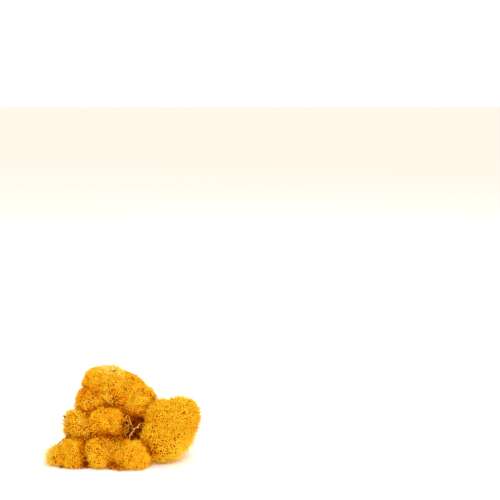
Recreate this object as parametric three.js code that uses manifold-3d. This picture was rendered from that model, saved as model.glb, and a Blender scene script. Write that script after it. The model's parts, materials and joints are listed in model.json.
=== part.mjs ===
// Reindeer moss clump: a natural clump of cushion-shaped lichen heads that rests
// on its own flattened underside. Millimetres, +Z up, front of the clump towards -Y.
// The origin is the middle of the bounding box's bottom face.
//
// Every head is a closed solid bounded by a smooth union of a few spheres (its
// lobes), measured along rays from the head's centre, with a low ripple where
// the tufts bulge. Heads press against each other: the later one in the list is
// hollowed where its neighbour's bulge pushes in, with a hair gap between them.

import * as THREE from 'three';
import { mergeVertices } from 'three/addons/utils/BufferGeometryUtils.js';
import Module from 'manifold-3d';

const wasm = await Module();
wasm.setup();

// ---------------------------------------------------------------- dimensions
const GAP = 0.3;            // clearance kept between touching pieces
const BLEND = 0.9;          // sharpness of the smooth union, per mm
const RIPPLE_HEIGHT = 0.55; // height of the tuft ripple on a head
const RIPPLE_PITCH = 6.5;   // distance from one tuft bulge to the next
const STEM_RADIUS = 0.5;    // the stout bare stem
const TWIG_RADIUS = 0.36;   // its side twigs and the sprig's branchlets
const NEEDLE_RADIUS = 0.32; // a fallen conifer needle, at its middle

// Each head: [x, y, z, radius] of its lobes, then the facet detail and the
// ripple phase. Earlier heads push into later ones.
const HEADS = [
  ['right_head', 5, 0.4, '#eaa51f',
    [[36.4, -5.0, 27.4, 12.2], [25.7, -6.0, 25.8, 12.2], [25.2, -10.0, 12.3, 14.1],
      [32.7, -8.0, 18.5, 12.2]]],
  ['front_right_head', 3, 1.1, '#eda622',
    [[6.8, -25.0, 7.3, 9.6], [0.6, -24.0, 8.9, 7.4], [10.6, -26.0, 5.0, 6.8]]],
  ['front_middle_head', 3, 1.9, '#f2a51c',
    [[-13.4, -21.0, 8.0, 9.0], [-17.9, -20.0, 9.6, 5.9], [-8.4, -21.0, 8.7, 6.5],
      [-20.5, -17.0, 2.0, 4.7], [-7.5, -19.0, 2.3, 5.0]]],
  ['front_left_head', 3, 2.7, '#e69a1c',
    [[-31.8, -19.0, 6.8, 9.5], [-40.7, -18.0, 4.9, 6.6], [-26.0, -16.0, 1.4, 5.0]]],
  ['middle_centre_head', 3, 3.3, '#e69617',
    [[-14.4, -9.0, 25.3, 7.9], [-6.9, -9.0, 25.9, 7.2], [-5.0, -9.0, 22.7, 5.7]]],
  ['middle_left_head', 3, 4.2, '#eda93a',
    [[-29.3, -6.0, 23.8, 8.2], [-31.2, -7.0, 18.9, 6.3], [-25.3, -8.0, 20.5, 6.6],
      [-24.7, -6.0, 15.7, 5.1]]],
  ['upper_left_head', 3, 5.0, '#e08f1a',
    [[-23.1, 2.0, 36.7, 8.0], [-20.4, 0.0, 34.0, 7.0]]],
  ['top_left_head', 3, 5.8, '#eea027',
    [[-18.4, 7.0, 47.6, 8.3], [-14.1, 9.0, 48.4, 7.9]]],
  ['top_middle_head', 3, 0.9, '#f4b74a',
    [[-8.5, 10.0, 47.5, 8.7], [-4.7, 11.0, 45.6, 7.1]]],
  ['top_right_head', 3, 1.6, '#e9a32c',
    [[3.1, 9.0, 44.5, 7.4], [1.1, 10.0, 42.6, 6.4]]],
  ['upper_right_head', 3, 2.2, '#e59c22',
    [[10.9, 7.0, 36.8, 8.3], [8.1, 1.0, 33.0, 6.0], [15.9, 8.0, 34.5, 5.1],
      [13.2, 1.0, 30.8, 5.5]]],
  ['upper_centre_head', 3, 3.9, '#d08413',
    [[-6.9, 6.0, 37.0, 8.3], [-11.9, 4.0, 35.6, 6.4], [0.3, 4.0, 34.9, 5.7],
      [-1.0, 3.0, 30.2, 4.8]]],
  ['back_top_left_head', 3, 4.7, '#e29d23',
    [[-16.5, 18.0, 38.6, 9.0], [-21.5, 13.0, 36.0, 7.3], [-12.0, 21.0, 35.0, 7.6]]],
  ['back_top_right_head', 3, 5.5, '#e6a126',
    [[1.0, 19.0, 36.0, 9.3], [7.0, 17.0, 33.0, 7.8], [3.0, 24.0, 31.5, 7.2]]],
  ['back_left_head', 3, 0.2, '#e09a20',
    [[-24.0, 11.5, 23.6, 8.8], [-22.0, 18.0, 20.5, 8.6], [-27.0, 8.0, 18.5, 7.6]]],
  ['back_middle_head', 3, 1.3, '#e4a024',
    [[-8.0, 27.0, 22.5, 10.3], [-1.0, 28.0, 20.5, 8.5], [-13.0, 24.0, 27.0, 7.4]]],
  ['back_right_head', 3, 2.9, '#e19b1e',
    [[14.0, 20.0, 23.5, 9.8], [20.0, 16.0, 19.5, 8.5], [10.0, 25.0, 20.0, 8.2]]],
  ['right_rear_head', 3, 3.6, '#e8a323',
    [[31.0, 12.0, 20.0, 10.5], [27.0, 15.0, 13.0, 10.0], [35.0, 8.0, 14.0, 8.6]]],
  ['low_left_rear_head', 3, 4.4, '#de961c',
    [[-26.0, 9.5, 7.8, 9.4], [-23.0, 19.0, 7.6, 9.0], [-30.0, 14.0, 7.0, 7.4]]],
  ['low_middle_rear_head', 3, 5.2, '#e39e22',
    [[-9.0, 31.0, 8.0, 9.4], [-1.0, 33.0, 7.4, 8.4], [-15.0, 28.0, 7.2, 7.6]]],
  ['low_right_rear_head', 3, 0.7, '#e09a1f',
    [[14.0, 27.5, 8.4, 9.6], [21.0, 23.0, 7.8, 8.6], [9.0, 31.0, 6.6, 7.2]]],
  ['right_base_head', 3, 2.4, '#dc9319',
    [[26.5, 15.0, 5.6, 6.9], [30.5, 9.0, 5.4, 6.9]]],
];

// The knot of bare lower stems in the hollow between the heads.
const TANGLE = ['stem_tangle', 4, 2.0, '#8a4710',
  [[1.0, 8.5, 22.0, 12.5], [7.0, 6.0, 17.0, 9.5], [-9.0, 5.0, 15.0, 10.5], [2.0, -8.0, 6.6, 8.4],
    [-20.0, -2.0, 10.0, 8.0], [11.0, 8.0, 27.0, 7.5], [15.0, 4.0, 7.0, 8.0]]];

// Paths of the thin pieces, with the radius of each run.
const BARE_STEM = [
  [STEM_RADIUS, [[2.4, -11.5, 9.0], [3.69, -14.0, 13.69], [4.18, -14.2, 16.45], [5.31, -13.5, 18.75],
    [6.95, -12.5, 20.8], [8.83, -11.5, 21.94], [10.77, -10.5, 23.35], [13.4, -9.3, 24.9]]],
  [TWIG_RADIUS, [[5.5, -13.35, 19.0], [5.9, -12.8, 20.6], [5.44, -12.4, 21.8]]],
  [TWIG_RADIUS, [[8.7, -11.6, 21.85], [10.0, -11.3, 21.4], [11.3, -11.0, 21.2]]],
];
const OPEN_SPRIG = [
  [TWIG_RADIUS, [[2.6, -5.0, 10.5], [1.3, -7.6, 14.2], [0.1, -8.2, 18.2], [-0.5, -8.3, 21.5], [-0.7, -8.2, 24.6],
    [0.65, -8.0, 27.07], [2.7, -7.6, 27.7], [4.28, -7.3, 25.89], [4.83, -7.4, 22.58]]],
  [TWIG_RADIUS, [[0.1, -8.2, 18.2], [1.5, -8.6, 20.4], [3.2, -8.6, 22.6], [4.6, -7.3, 24.2]]],
];
const NEEDLE = [NEEDLE_RADIUS, [[-42.0, -14.4, 10.5], [-40.0, -14.0, 12.0], [-37.9, -13.2, 13.7], [-35.2, -12.2, 15.6],
  [-32.0, -10.8, 17.6]]];

// Two flat scraps that cling to the clump: centre, half sizes, turn in degrees.
const BARK_FLECK = [[-36.75, -9.3, 28.2], [0.55, 0.75, 1.0], [8, -28, 40]];
const BASE_CRUMB = [[-36.6, -26.2, 1.15], [1.6, 0.9, 0.75], [6, 0, 14]];

// ------------------------------------------------------------------ geometry
const toSolid = (geometry) => {
  const g = geometry.clone();
  for (const name of Object.keys(g.attributes)) if (name !== 'position') g.deleteAttribute(name);
  const merged = mergeVertices(g, 1e-5);
  const index = merged.index ? merged.index.array : Uint32Array.from({ length: merged.attributes.position.count }, (_, i) => i);
  return new wasm.Manifold(new wasm.Mesh({
    numProp: 3,
    vertProperties: new Float32Array(merged.attributes.position.array),
    triVerts: new Uint32Array(index),
  }));
};

// The largest connected body of a cut solid, as a geometry.
const toGeometry = (solid) => {
  const mesh = solid.getMesh();
  const count = mesh.vertProperties.length / mesh.numProp;
  const parent = Int32Array.from({ length: count }, (_, i) => i);
  const root = (i) => { while (parent[i] !== i) { parent[i] = parent[parent[i]]; i = parent[i]; } return i; };
  const tri = mesh.triVerts;
  for (let t = 0; t < tri.length; t += 3) {
    parent[root(tri[t])] = root(tri[t + 1]);
    parent[root(tri[t + 1])] = root(tri[t + 2]);
  }
  const tally = new Map();
  for (let t = 0; t < tri.length; t += 3) tally.set(root(tri[t]), (tally.get(root(tri[t])) || 0) + 1);
  const best = [...tally.entries()].sort((a, b) => b[1] - a[1])[0][0];
  const position = [];
  const index = [];
  const renumbered = new Map();
  for (let t = 0; t < tri.length; t += 3) {
    if (root(tri[t]) !== best) continue;
    for (let k = 0; k < 3; k += 1) {
      const v = tri[t + k];
      if (!renumbered.has(v)) {
        renumbered.set(v, position.length / 3);
        position.push(mesh.vertProperties[v * mesh.numProp], mesh.vertProperties[v * mesh.numProp + 1], mesh.vertProperties[v * mesh.numProp + 2]);
      }
      index.push(renumbered.get(v));
    }
  }
  const geometry = new THREE.BufferGeometry();
  geometry.setAttribute('position', new THREE.Float32BufferAttribute(position, 3));
  geometry.setIndex(index);
  geometry.computeVertexNormals();
  return geometry;
};

// Distance from the head's centre to its skin along direction d.
const centreOf = (lobes) => {
  const c = new THREE.Vector3();
  let sum = 0;
  for (const [x, y, z, r] of lobes) { c.addScaledVector(new THREE.Vector3(x, y, z), r ** 3); sum += r ** 3; }
  return c.divideScalar(sum);
};
const skin = (lobes, centre, d, phase, grow) => {
  const t = lobes.map(([x, y, z, r]) => {
    const q = new THREE.Vector3(x, y, z).sub(centre);
    const along = d.dot(q);
    const disc = (r + grow) ** 2 - q.lengthSq() + along * along;
    return disc > 0 ? along + Math.sqrt(disc) : 0;
  });
  const top = Math.max(...t);
  const base = top + Math.log(t.reduce((s, v) => s + Math.exp(BLEND * (v - top)), 0)) / BLEND;
  const p = d.clone().multiplyScalar(base).add(centre);
  const w = (2 * Math.PI) / RIPPLE_PITCH;
  const ripple = Math.sin(w * (p.x + 0.6 * p.z) + phase)
    + Math.sin(w * (1.1 * p.y - 0.5 * p.x) + 1.7 * phase + 1)
    + Math.sin(w * (1.05 * p.z + 0.4 * p.y) + 2.3 * phase + 2);
  return base + (RIPPLE_HEIGHT / 3) * ripple;
};
const headShape = ([, detail, phase, , lobes], grow) => {
  const g = new THREE.IcosahedronGeometry(1, detail);
  const centre = centreOf(lobes);
  const pos = g.attributes.position;
  const d = new THREE.Vector3();
  for (let i = 0; i < pos.count; i += 1) {
    d.fromBufferAttribute(pos, i).normalize();
    const r = skin(lobes, centre, d, phase, grow);
    pos.setXYZ(i, centre.x + d.x * r, centre.y + d.y * r, centre.z + d.z * r);
  }
  return toSolid(g);
};

// A round run along a path: a seven-sided section swept on a smooth curve.
const run = (radius, points) => {
  const curve = new THREE.CatmullRomCurve3(points.map((p) => new THREE.Vector3(...p)));
  const shape = new THREE.Shape();
  for (let i = 0; i < 7; i += 1) {
    const a = (i / 7) * 2 * Math.PI;
    if (i === 0) shape.moveTo(radius * Math.cos(a), radius * Math.sin(a));
    else shape.lineTo(radius * Math.cos(a), radius * Math.sin(a));
  }
  const steps = Math.max(4, Math.round(curve.getLength() / 1.9));
  return toSolid(new THREE.ExtrudeGeometry(shape, { steps, extrudePath: curve, bevelEnabled: false }));
};
const branched = (runs, grow = 0) => runs
  .map(([radius, points]) => run(radius + grow, points))
  .reduce((a, b) => a.add(b));

// A flat rough scrap: a faceted ball squeezed to its half sizes.
const scrap = ([at, half, turn], grow = 0) => {
  const g = new THREE.IcosahedronGeometry(1, 1);
  const pos = g.attributes.position;
  const v = new THREE.Vector3();
  for (let i = 0; i < pos.count; i += 1) {
    v.fromBufferAttribute(pos, i);
    const rough = 1 + 0.13 * Math.sin(5 * v.x + 3 * v.y) + 0.1 * Math.cos(6 * v.z - 4 * v.x);
    pos.setXYZ(i, v.x * (half[0] * rough + grow), v.y * (half[1] * rough + grow), v.z * (half[2] * rough + grow));
  }
  g.applyMatrix4(new THREE.Matrix4().makeRotationFromEuler(new THREE.Euler(...turn.map((a) => (a * Math.PI) / 180))));
  g.translate(...at);
  return toSolid(g);
};

const floorGeometry = new THREE.BoxGeometry(240, 240, 60);
floorGeometry.translate(0, 0, -30);
const floor = toSolid(floorGeometry);

// ------------------------------------------------------------------ assembly
const clump = new THREE.Group();
const grown = [];
const add = (name, geometry, colour, roughness) => {
  const mesh = new THREE.Mesh(geometry, new THREE.MeshStandardMaterial({ color: colour, roughness, metalness: 0 }));
  mesh.name = name;
  clump.add(mesh);
};

const overlaps = (a, b) => {
  const p = a.boundingBox();
  const q = b.boundingBox();
  return [0, 1, 2].every((k) => p.min[k] < q.max[k] && q.min[k] < p.max[k]);
};
const cutBy = (solid, tools) => tools.reduce((s, tool) => (overlaps(s, tool) ? s.subtract(tool) : s), solid);

for (const head of HEADS) {
  const solid = cutBy(headShape(head, 0).subtract(floor), grown);
  add(head[0], toGeometry(solid), head[3], 0.85);
  grown.push(headShape(head, GAP));
}

add('bare_stem', toGeometry(cutBy(branched(BARE_STEM), grown)), '#e9b877', 0.7);
add('open_sprig', toGeometry(cutBy(branched(OPEN_SPRIG), [...grown, branched(BARE_STEM, GAP)])), '#d99a3a', 0.8);
add('pine_needle', toGeometry(cutBy(branched([NEEDLE]), grown)), '#5b3416', 0.6);
add('bark_fleck', toGeometry(cutBy(scrap(BARK_FLECK), grown)), '#4a2a14', 0.9);
add('base_crumb', toGeometry(cutBy(scrap(BASE_CRUMB), grown)), '#7a4a1c', 0.9);

const tangleTools = [...grown, branched(BARE_STEM, GAP), branched(OPEN_SPRIG, GAP)];
add(TANGLE[0], toGeometry(cutBy(headShape(TANGLE, 0).subtract(floor), tangleTools)), TANGLE[3], 0.9);

// Put the middle of the clump's underside on the origin.
clump.updateMatrixWorld(true);
const box = new THREE.Box3().setFromObject(clump, true);
const middle = box.getCenter(new THREE.Vector3());
for (const mesh of clump.children) {
  mesh.position.set(-middle.x, -middle.y, 0);
}

export default clump;
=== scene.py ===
import json
import math

import bmesh
import bpy
import numpy as np
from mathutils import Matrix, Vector


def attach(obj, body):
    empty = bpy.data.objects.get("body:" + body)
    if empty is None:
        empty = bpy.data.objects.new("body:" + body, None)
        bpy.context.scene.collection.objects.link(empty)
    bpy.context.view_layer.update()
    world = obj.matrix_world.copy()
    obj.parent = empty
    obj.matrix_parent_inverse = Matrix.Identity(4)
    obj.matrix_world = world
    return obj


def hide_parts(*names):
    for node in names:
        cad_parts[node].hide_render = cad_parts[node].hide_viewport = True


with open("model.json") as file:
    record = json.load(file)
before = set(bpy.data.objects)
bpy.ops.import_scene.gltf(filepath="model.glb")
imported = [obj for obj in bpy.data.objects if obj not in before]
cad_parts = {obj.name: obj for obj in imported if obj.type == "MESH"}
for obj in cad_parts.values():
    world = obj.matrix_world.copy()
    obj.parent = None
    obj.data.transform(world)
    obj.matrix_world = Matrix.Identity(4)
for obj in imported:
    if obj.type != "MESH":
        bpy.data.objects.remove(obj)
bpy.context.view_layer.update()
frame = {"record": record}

# ---------------------------------------------------------------- layout, mm
# The heads' lobes as in the CAD model, before its last shift to the origin.
SHIFT = np.array([-0.6492, -3.3735, 0.0])
BLEND = 0.9
RIPPLE_HEIGHT = 0.55
RIPPLE_PITCH = 6.5

# name: ripple phase, lobes
HEADS = {
    "right_head": (0.4, [(36.4, -5.0, 27.4, 12.2), (25.7, -6.0, 25.8, 12.2), (25.2, -10.0, 12.3, 14.1), (32.7, -8.0, 18.5, 12.2)]),
    "front_right_head": (1.1, [(6.8, -25.0, 7.3, 9.6), (0.6, -24.0, 8.9, 7.4), (10.6, -26.0, 5.0, 6.8)]),
    "front_middle_head": (1.9, [(-13.4, -21.0, 8.0, 9.0), (-17.9, -20.0, 9.6, 5.9), (-8.4, -21.0, 8.7, 6.5), (-20.5, -17.0, 2.0, 4.7),
    (-7.5, -19.0, 2.3, 5.0)]),
    "front_left_head": (2.7, [(-31.8, -19.0, 6.8, 9.5), (-40.7, -18.0, 4.9, 6.6), (-26.0, -16.0, 1.4, 5.0)]),
    "middle_centre_head": (3.3, [(-14.4, -9.0, 25.3, 7.9), (-6.9, -9.0, 25.9, 7.2), (-5.0, -9.0, 22.7, 5.7)]),
    "middle_left_head": (4.2, [(-29.3, -6.0, 23.8, 8.2), (-31.2, -7.0, 18.9, 6.3), (-25.3, -8.0, 20.5, 6.6), (-24.7, -6.0, 15.7, 5.1)]),
    "upper_left_head": (5.0, [(-23.1, 2.0, 36.7, 8.0), (-20.4, 0.0, 34.0, 7.0)]),
    "top_left_head": (5.8, [(-18.4, 7.0, 47.6, 8.3), (-14.1, 9.0, 48.4, 7.9)]),
    "top_middle_head": (0.9, [(-8.5, 10.0, 47.5, 8.7), (-4.7, 11.0, 45.6, 7.1)]),
    "top_right_head": (1.6, [(3.1, 9.0, 44.5, 7.4), (1.1, 10.0, 42.6, 6.4)]),
    "upper_right_head": (2.2, [(10.9, 7.0, 36.8, 8.3), (8.1, 1.0, 33.0, 6.0), (15.9, 8.0, 34.5, 5.1), (13.2, 1.0, 30.8, 5.5)]),
    "upper_centre_head": (3.9, [(-6.9, 6.0, 37.0, 8.3), (-11.9, 4.0, 35.6, 6.4), (0.3, 4.0, 34.9, 5.7), (-1.0, 3.0, 30.2, 4.8)]),
    "back_top_left_head": (4.7, [(-16.5, 18.0, 38.6, 9.0), (-21.5, 13.0, 36.0, 7.3), (-12.0, 21.0, 35.0, 7.6)]),
    "back_top_right_head": (5.5, [(1.0, 19.0, 36.0, 9.3), (7.0, 17.0, 33.0, 7.8), (3.0, 24.0, 31.5, 7.2)]),
    "back_left_head": (0.2, [(-24.0, 11.5, 23.6, 8.8), (-22.0, 18.0, 20.5, 8.6), (-27.0, 8.0, 18.5, 7.6)]),
    "back_middle_head": (1.3, [(-8.0, 27.0, 22.5, 10.3), (-1.0, 28.0, 20.5, 8.5), (-13.0, 24.0, 27.0, 7.4)]),
    "back_right_head": (2.9, [(14.0, 20.0, 23.5, 9.8), (20.0, 16.0, 19.5, 8.5), (10.0, 25.0, 20.0, 8.2)]),
    "right_rear_head": (3.6, [(31.0, 12.0, 20.0, 10.5), (27.0, 15.0, 13.0, 10.0), (35.0, 8.0, 14.0, 8.6)]),
    "low_left_rear_head": (4.4, [(-26.0, 9.5, 7.8, 9.4), (-23.0, 19.0, 7.6, 9.0), (-30.0, 14.0, 7.0, 7.4)]),
    "low_middle_rear_head": (5.2, [(-9.0, 31.0, 8.0, 9.4), (-1.0, 33.0, 7.4, 8.4), (-15.0, 28.0, 7.2, 7.6)]),
    "low_right_rear_head": (0.7, [(14.0, 27.5, 8.4, 9.6), (21.0, 23.0, 7.8, 8.6), (9.0, 31.0, 6.6, 7.2)]),
    "right_base_head": (2.4, [(26.5, 15.0, 5.6, 6.9), (30.5, 9.0, 5.4, 6.9)]),
}
TANGLE = (2.0, [(1.0, 8.5, 22.0, 12.5), (7.0, 6.0, 17.0, 9.5), (-9.0, 5.0, 15.0, 10.5), (2.0, -8.0, 6.6, 8.4),
                (-20.0, -2.0, 10.0, 8.0), (11.0, 8.0, 27.0, 7.5), (15.0, 4.0, 7.0, 8.0)])

# Style of each head: spacing of the little stars that tip its branches, their
# arm length, radius and splay, height scatter and size of its tufts, tone (0
# deep orange, 0.5 yellow, 1 cream), tone spread, share of pale stars (painted
# highlights, tips that catch the light), by how much and from what height (or
# round which place), size and crease depth of its florets and how far its pits
# keep to their creases, the pits' spacing, share (in the open and by how much it
# grows in the shade), radii and depth, the middle and reach of its plush crown,
# share of raised stars and of loose filaments, the filaments' length and radii,
# how far painted shade turns it red where other growth hides it; then how far
# down the second stars and the thicket are, and the thicket's tone against the
# stars' and its age, its darkness partly painted shade.
PLAIN = dict(space=0.90, arm=0.68, thick=0.165, splay=1.9, rough=0.14, tuft=0.3, tone=0.41, spread=0.08, pale=0.0, pale_by=0.3, pale_from=-99.0,
             floret=6.5, crease=0.6, seamed=0.7, pit=1.75, pits=0.5, pits_shade=1.45, hole=(0.32, 0.50), pit_deep=1.0,
             stray=0.08, hairs=0.26, hair=(0.8, 2.0), wire=(0.11, 0.17), redden=0.64, dark=0.0,
             under=0.98, sink=0.75, under_dark=0.12, under_arm=0.85, fat=0.39, core=2.1, core_tone=-0.15, core_dark=0.70)
BACK = dict(space=1.13, arm=0.82, thick=0.19, tone=0.40, under=1.05, fat=0.40, hairs=0.2, pits=0.4,
            core_tone=-0.05, core_dark=0.84)
STYLE = {
    "right_head": dict(tone=0.45, floret=5.0, seamed=0.0, pits=0.85, pits_shade=0.8, pit=1.45, hole=(0.27, 0.43),
                       crease=0.2, hairs=0.34, hair=(1.0, 2.4), wire=(0.15, 0.21), stray=0.14, core_tone=-0.02, core_dark=0.80,
                       plush=(38.0, -14.0, 31.0, 19.0)),
    "front_right_head": dict(tone=0.40, pits=0.7, plush=(8.0, -34.0, 7.0, 12.0)),
    "front_middle_head": dict(tone=0.42, pits=0.8, plush=(-13.0, -31.0, 4.0, 12.0)),
    "front_left_head": dict(tone=0.39, stray=0.12, hairs=0.34, hair=(1.0, 2.4), wire=(0.14, 0.20), pits=0.5, plush=(-36.0, -27.0, 9.0, 11.0)),
    "middle_centre_head": dict(tone=0.38, pits=0.9, plush=(-6.0, -17.0, 27.0, 9.5)),
    "middle_left_head": dict(tone=0.53, space=1.02, arm=0.76, spread=0.14, crease=0.45, pits=0.55, pit=1.8, hole=(0.32, 0.52),
                             hairs=0.3, pale=0.38, pale_by=0.38, pale_at=(-36.5, -8.0, 23.0, 5.5)),
    "upper_left_head": dict(tone=0.40, redden=0.6, space=0.98, arm=0.74, spread=0.14, crease=0.4, pits=0.5, plush=(-32.0, -3.0, 36.0, 12.0),
                            pale=0.34, pale_by=0.42, pale_at=(-21.5, -5.0, 33.5, 6.0)),
    "top_left_head": dict(tone=0.41, spread=0.08, pits=0.1, crease=0.4, fat=0.42, plush=(-22.0, 0.0, 48.0, 14.0), pale=0.3, pale_from=53.0),
    "top_middle_head": dict(tone=0.46, spread=0.10, pits=0.4, thick=0.155, pale=0.45, pale_by=0.3, pale_from=51.0, hairs=0.4),
    "top_right_head": dict(tone=0.39, pits=0.5),
    "upper_right_head": dict(tone=0.40, pits=0.6, plush=(12.0, -3.0, 34.0, 9.0)),
    "upper_centre_head": dict(tone=0.41, redden=0.55, space=1.02, arm=0.78, spread=0.14, crease=0.5, pits=0.8, pit=1.85, hole=(0.34, 0.54),
                              pale=0.20, pale_by=0.34, pale_at=(-5.0, -3.0, 35.0, 8.0), hairs=0.2),
}
# Heads that grew into each other, with moss right across the seams.
JOINED = {frozenset(pair) for pair in (
    ("top_left_head", "top_middle_head"), ("top_middle_head", "top_right_head"), ("top_middle_head", "upper_centre_head"),
    ("top_right_head", "upper_centre_head"), ("top_right_head", "upper_right_head"), ("upper_centre_head", "upper_right_head"),
    ("upper_left_head", "upper_centre_head"), ("middle_left_head", "middle_centre_head"), ("top_left_head", "upper_centre_head"),
    ("front_middle_head", "front_right_head"))}
# Joined, but with a clear crease between them.
CREASED = {frozenset(("front_middle_head", "front_right_head")), frozenset(("middle_left_head", "middle_centre_head")),
           frozenset(("top_left_head", "top_middle_head")), frozenset(("upper_left_head", "upper_centre_head"))}
# Seams left as clean creases.
BARE_SEAMS = {frozenset(pair) for pair in (
    ("top_left_head", "upper_left_head"), ("front_left_head", "front_middle_head"),
    ("front_right_head", "right_head"))}
# Low swellings at the foot of the front heads, painted dark as shade at the floor: middle and radius.
SKIRTS = [(-31.5, -24.0, 1.0, 2.0), (-27.0, -27.5, 0.9, 2.2), (-23.6, -26.6, 1.2, 2.6), (-20.2, -26.2, 1.1, 2.4), (-9.0, -27.0, 1.0, 2.0),
          (-6.2, -27.5, 1.3, 2.5), (-3.0, -29.6, 1.0, 2.4), (0.4, -32.0, 0.9, 2.0), (16.0, -22.0, 2.0, 2.6)]
# Lumps on a head: middle and radius.
LUMPS = {
    "middle_centre_head": [(-17.2, -12.6, 20.3, 2.9), (-12.9, -13.6, 20.4, 2.8), (-8.6, -13.6, 21.6, 2.6), (-4.4, -12.4, 19.9, 3.0)],
    "middle_left_head": [(-33.6, -8.6, 18.6, 3.0), (-28.6, -11.4, 17.6, 2.9), (-23.2, -11.8, 18.4, 2.8), (-33.5, -7.5, 29.0, 2.6)],
    "upper_left_head": [(-28.5, -2.5, 33.5, 2.8), (-22.3, -5.2, 32.0, 2.9)],
    "top_left_head": [(-24.0, 3.5, 46.5, 3.2), (-20.5, 1.0, 44.0, 3.0)],
    "upper_right_head": [(9.5, -3.5, 35.0, 3.6), (13.5, -2.5, 36.0, 3.0), (4.9, -3.6, 31.8, 2.9), (9.2, -4.3, 31.4, 3.0), (13.2, -3.2, 31.2, 3.0)],
    "front_left_head": [(-36.5, -23.0, 2.9, 3.0), (-32.5, -26.0, 3.2, 3.4), (-28.0, -26.8, 3.2, 3.4)],
    "front_middle_head": [(-16.6, -26.0, 4.2, 3.0), (-13.3, -28.0, 4.0, 3.8), (-10.5, -27.0, 4.0, 3.2)],
}
# Patches painted on a head, mostly painted light and shade: painted highlights on lit tops and edges,
# painted shade in seams, creases, by the hollow and at the floor; a few are other tone or small dark spots.
# Middle, reach and by how much of each in tone and age.
LIGHT_SHADE_AND_TONE_PATCHES = {
    "stem_tangle": [((-21.8, -27.0, 2.0), 3.6, -0.1, 0.56), ((-6.5, -28.5, 1.8), 3.2, 0.0, 0.28), ((-1.5, -31.5, 1.5), 3.5, 0.05, 0.16),
                    ((-5.0, -13.0, 13.0), 5.0, 0.0, 0.15), ((-23.3, -14.5, 14.8), 4.5, -0.1, 0.14), ((-3.0, -13.0, 16.5), 4.0, 0.0, 0.07)],
    "front_right_head": [((-0.5, -24.0, 15.2), 5.0, -0.04, 0.17), ((-1.0, -32.0, 2.6), 4.5, -0.08, 0.12), ((-4.6, -27.0, 4.0), 3.0, -0.12, 0.04)],
    "middle_centre_head": [((0.3, -9.5, 24.0), 2.8, -0.15, 0.62), ((-1.0, -9.5, 19.0), 2.8, -0.12, 0.5), ((-0.2, -11.0, 23.3), 2.6, 0.0, 0.14)],
    "front_left_head": [((-46.5, -20.0, 7.0), 7.0, 0.34, 0.0), ((-30.5, -29.0, 1.5), 5.0, -0.06, 0.03), ((-24.0, -23.0, 5.0), 4.0, -0.12, 0.08),
                        ((-42.6, -24.4, 5.2), 0.8, -0.2, 0.9),
                        ((-29.0, -29.4, 1.3), 1.0, -0.2, 0.8)],
    "front_middle_head": [((-22.4, -21.0, 2.0), 3.6, -0.10, 0.18), ((-7.5, -24.0, 1.5), 2.6, -0.1, 0.05), ((-11.5, -23.0, 16.0), 5.0, -0.05, 0.18),
                          ((-6.6, -27.0, 4.0), 2.6, -0.12, 0.04)],
    "right_head": [((40.0, -10.0, 36.0), 14.0, 0.06, 0.0), ((34.0, -14.0, 8.0), 8.0, 0.24, -0.14), ((45.0, -6.0, 24.0), 9.0, -0.06, 0.12),
                   ((15.0, -12.0, 20.0), 7.0, 0.05, -0.26)],
    "upper_left_head": [((-18.0, -6.0, 40.0), 6.0, -0.08, 0.05), ((-30.0, -2.0, 35.5), 4.5, 0.10, -0.03)],
    "top_left_head": [((-11.5, 6.0, 55.0), 4.5, 0.28, 0.0)],
    "top_middle_head": [((-6.5, 7.0, 55.0), 6.0, 0.24, 0.0)],
    "upper_right_head": [((12.0, -4.0, 34.0), 6.0, 0.10, 0.0)],
    "upper_centre_head": [((-10.0, -2.0, 33.0), 7.0, -0.03, 0.06)],
    "top_right_head": [((3.0, 2.0, 49.0), 5.0, -0.02, 0.05)],
}
# Where a head is more riddled with pits: middle, reach, added share and width.
PITTED = {
    "front_middle_head": [((-11.5, -23.0, 15.5), 5.5, 0.5, 0.2)],
    "front_right_head": [((-0.5, -24.0, 15.0), 5.5, 0.9, 0.7), ((-1.0, -32.0, 2.6), 4.5, 0.5, 0.0)],
    "upper_centre_head": [((-7.3, -3.0, 36.0), 6.0, 0.4, 0.2)],
    "middle_left_head": [((-24.5, -13.0, 24.0), 4.0, 0.3, 0.0)],
    "right_head": [((22.0, -22.0, 17.0), 8.0, 0.3, 0.0)],
}
# Where loose filaments stand thick on a head: middle, reach and share.
FRAYED = {
    "front_left_head": ((-46.5, -20.0, 3.5), 6.0, 0.7),
    "right_head": ((40.0, -9.0, 12.0), 10.0, 0.6),
    "top_middle_head": ((-7.0, 8.0, 55.0), 6.0, 0.4),
    "middle_left_head": ((-37.0, -7.0, 22.0), 5.0, 0.4),
}
# The dark hollow at the front, between the heads: middle and half sizes in x and z.
HOLLOW = (6.4, 21.0, 7.2, 11.0)

rng = np.random.default_rng(20417)


# ------------------------------------------------------------- small vectors
def unit(a):
    return a / np.maximum(np.linalg.norm(a, axis=-1, keepdims=True), 1e-12)


def across(n):
    """Two unit vectors square to each n."""
    helper = np.where(np.abs(n[..., 2:3]) < 0.9, np.array([0.0, 0.0, 1.0]), np.array([1.0, 0.0, 0.0]))
    e1 = unit(np.cross(n, helper))
    return e1, np.cross(n, e1)


def even_dirs(count):
    i = np.arange(count) + 0.5
    lift = np.arccos(1 - 2 * i / count)
    turn = math.pi * (1 + 5 ** 0.5) * i
    return np.stack([np.cos(turn) * np.sin(lift), np.sin(turn) * np.sin(lift), np.cos(lift)], 1)


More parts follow.
